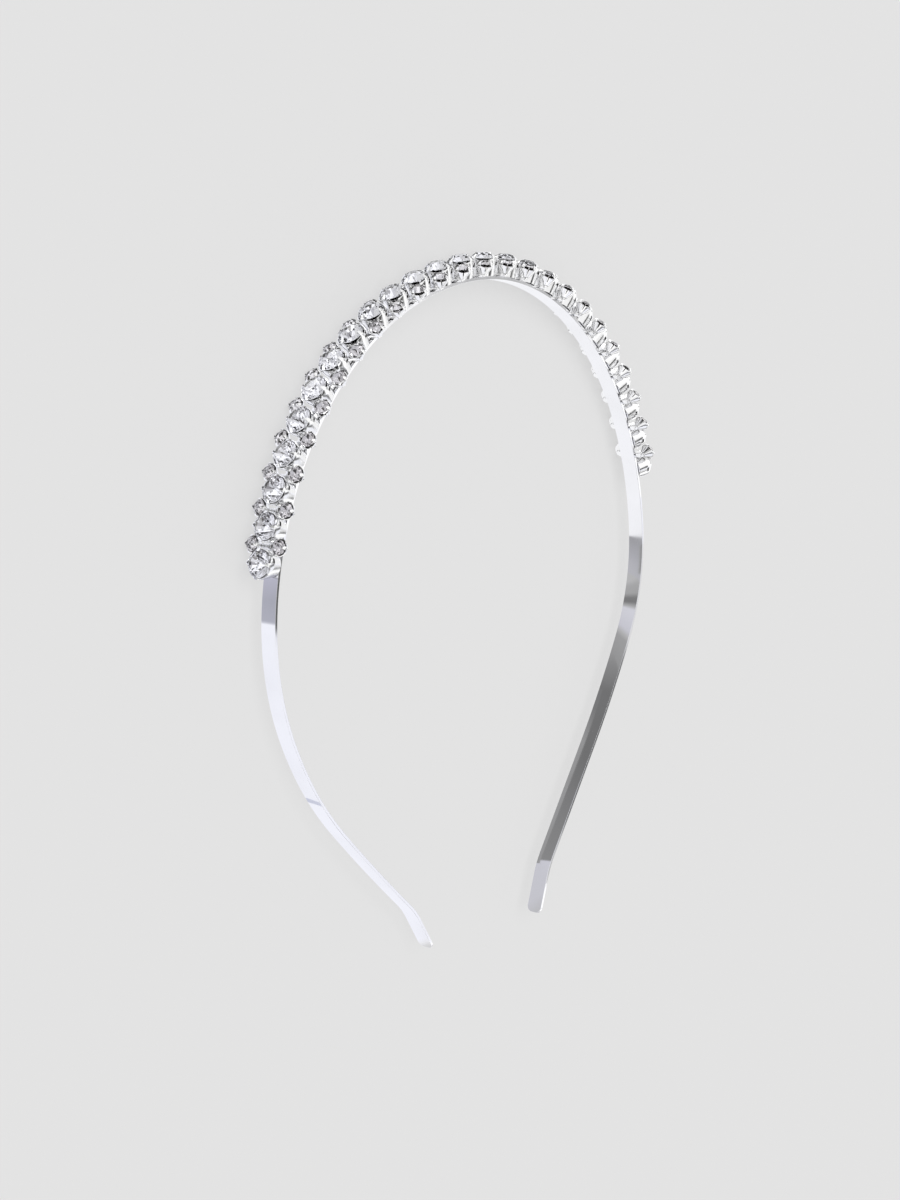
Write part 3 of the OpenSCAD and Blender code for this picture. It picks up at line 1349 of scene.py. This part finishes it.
def studio_world(settings):
    """Even soft light for the paper, and softboxes and dark gaps for shiny surfaces."""
    world = bpy.data.worlds.new("Studio")
    bpy.context.scene.world = world
    world.use_nodes = True
    world.node_tree.nodes.clear()
    sheet = Sheet(world.node_tree)
    direction = sheet.node("ShaderNodeTexCoord").outputs["Generated"]
    patches = sheet.node(
        "ShaderNodeTexVoronoi", {"Vector": direction, "Scale": ROOM_PATCH_SCALE}
    )
    value = sheet.node("ShaderNodeSeparateColor", {0: patches.outputs["Color"]})
    metal_room = sheet.ramp(value.outputs[0], METAL_ROOM, interpolation="CONSTANT")
    stone_room = sheet.ramp(value.outputs[1], STONE_ROOM, interpolation="CONSTANT")
    beyond = sheet.node(
        "ShaderNodeVectorMath", {0: direction, 1: WINDOW_DIRECTION}, operation="DOT_PRODUCT"
    )
    window = sheet.node(
        "ShaderNodeMath", {0: beyond.outputs["Value"], 1: 0.0}, operation="MAXIMUM"
    )
    lit_stone_room = sheet.node(
        "ShaderNodeMix",
        {"Factor": window.outputs[0], "A": stone_room, "B": WINDOW_TONE},
        data_type="RGBA",
    )
    path = sheet.node("ShaderNodeLightPath")
    seen = sheet.node(
        "ShaderNodeMix",
        {
            "Factor": path.outputs["Is Transmission Ray"],
            "A": metal_room,
            "B": lit_stone_room.outputs["Result"],
        },
        data_type="RGBA",
    )
    shiny = sheet.node("ShaderNodeBackground", {"Color": seen.outputs["Result"], "Strength": 1.0})
    soft = sheet.node(
        "ShaderNodeBackground", {"Color": (1, 1, 1, 1), "Strength": settings.sky_strength}
    )
    plain = sheet.node(
        "ShaderNodeMath",
        {0: path.outputs["Is Diffuse Ray"], 1: path.outputs["Is Camera Ray"]},
        operation="MAXIMUM",
    )
    mixed = sheet.node(
        "ShaderNodeMixShader",
        {0: plain.outputs[0], 1: shiny.outputs[0], 2: soft.outputs[0]},
    )
    sheet.node("ShaderNodeOutputWorld", {"Surface": mixed.outputs[0]})


def key_light(settings):
    """A broad sun-like light, soft enough for a faint shadow."""
    light = bpy.data.lights.new("Key light", "SUN")
    light.energy = settings.key_strength
    light.angle = KEY_SPREAD
    lamp = bpy.data.objects.new("Key light", light)
    bpy.context.scene.collection.objects.link(lamp)
    lamp.rotation_euler = KEY_TURN
    lamp.visible_glossy = False
    lamp.visible_transmission = False


def photo_camera():
    """Stands the camera at the photograph's angle to the headband."""
    turn = (
        Matrix.Rotation(-math.pi / 2, 3, "X")
        @ Matrix.Rotation(-math.radians(CAMERA_AZIMUTH), 3, "Z")
        @ Matrix.Rotation(math.pi / 2 - math.radians(CAMERA_ELEVATION), 3, "X")
        @ Matrix.Rotation(math.radians(CAMERA_ROLL), 3, "Z")
    )
    offset = Vector((CAMERA_AIM_ACROSS, CAMERA_AIM_ALONG, CAMERA_DISTANCE))
    matrix = turn.to_4x4()
    matrix.translation = CROWN + turn @ offset
    data = bpy.data.cameras.new("Camera")
    data.sensor_fit = "VERTICAL"
    data.sensor_height = SENSOR_HEIGHT
    data.lens = CAMERA_FOCAL / PHOTO_HEIGHT * SENSOR_HEIGHT
    data.clip_start = CAMERA_NEAREST
    camera = bpy.data.objects.new("Camera", data)
    bpy.context.scene.collection.objects.link(camera)
    camera.matrix_world = matrix
    bpy.context.scene.camera = camera


class HEADBAND_OT_stage(bpy.types.Operator):
    """Sets the backdrop, the lights, the reflection cards and the camera"""

    bl_idname = "headband.stage"
    bl_label = "Stage"

    def execute(self, context):
        settings = context.scene.headband_stage
        half = settings.backdrop_size / 2
        paper = backdrop_material(settings)
        stage_plane("backdrop", (-half, -half), (half, half), BACKDROP_HEIGHT, paper)
        for card in CARDS:
            reflection_card(card)
        glow_ring()
        studio_world(settings)
        key_light(settings)
        photo_camera()
        context.scene.view_settings.view_transform = "Standard"
        return {"FINISHED"}


# ---------------------------------------------------------------- panel and run


class HEADBAND_PT_panel(bpy.types.Panel):
    """Lists the headband's pieces and settings"""

    bl_label = "Headband"
    bl_idname = "HEADBAND_PT_panel"
    bl_space_type = "VIEW_3D"
    bl_region_type = "UI"
    bl_category = "Headband"

    def draw(self, context):
        for group, operators in (
            ("headband_plating", (HEADBAND_OT_band, HEADBAND_OT_claw_strip)),
            ("headband_stones", (HEADBAND_OT_large_stones, HEADBAND_OT_small_stones)),
            ("headband_stage", (HEADBAND_OT_stage,)),
        ):
            box = self.layout.box()
            settings = getattr(context.scene, group)
            for name in settings.__annotations__:
                box.prop(settings, name)
            for operator in operators:
                box.operator(operator.bl_idname)


GROUPS = {
    "headband_plating": HeadbandPlating,
    "headband_stones": HeadbandStones,
    "headband_stage": HeadbandStage,
}
OPERATORS = (
    HEADBAND_OT_band,
    HEADBAND_OT_claw_strip,
    HEADBAND_OT_large_stones,
    HEADBAND_OT_small_stones,
    HEADBAND_OT_stage,
)


def register():
    """Adds the settings, the operators and the panel."""
    for name, group in GROUPS.items():
        bpy.utils.register_class(group)
        setattr(bpy.types.Scene, name, PointerProperty(type=group))
    for operator in OPERATORS:
        bpy.utils.register_class(operator)
    bpy.utils.register_class(HEADBAND_PT_panel)


def unregister():
    """Takes them away again, in the opposite order."""
    bpy.utils.unregister_class(HEADBAND_PT_panel)
    for operator in reversed(OPERATORS):
        bpy.utils.unregister_class(operator)
    for name, group in GROUPS.items():
        delattr(bpy.types.Scene, name)
        bpy.utils.unregister_class(group)


def main():
    """Builds the headband and its stage."""
    register()
    bpy.ops.headband.band()
    bpy.ops.headband.claw_strip()
    bpy.ops.headband.large_stones()
    bpy.ops.headband.small_stones()
    bpy.ops.headband.stage()


if __name__ == "__main__":
    main()
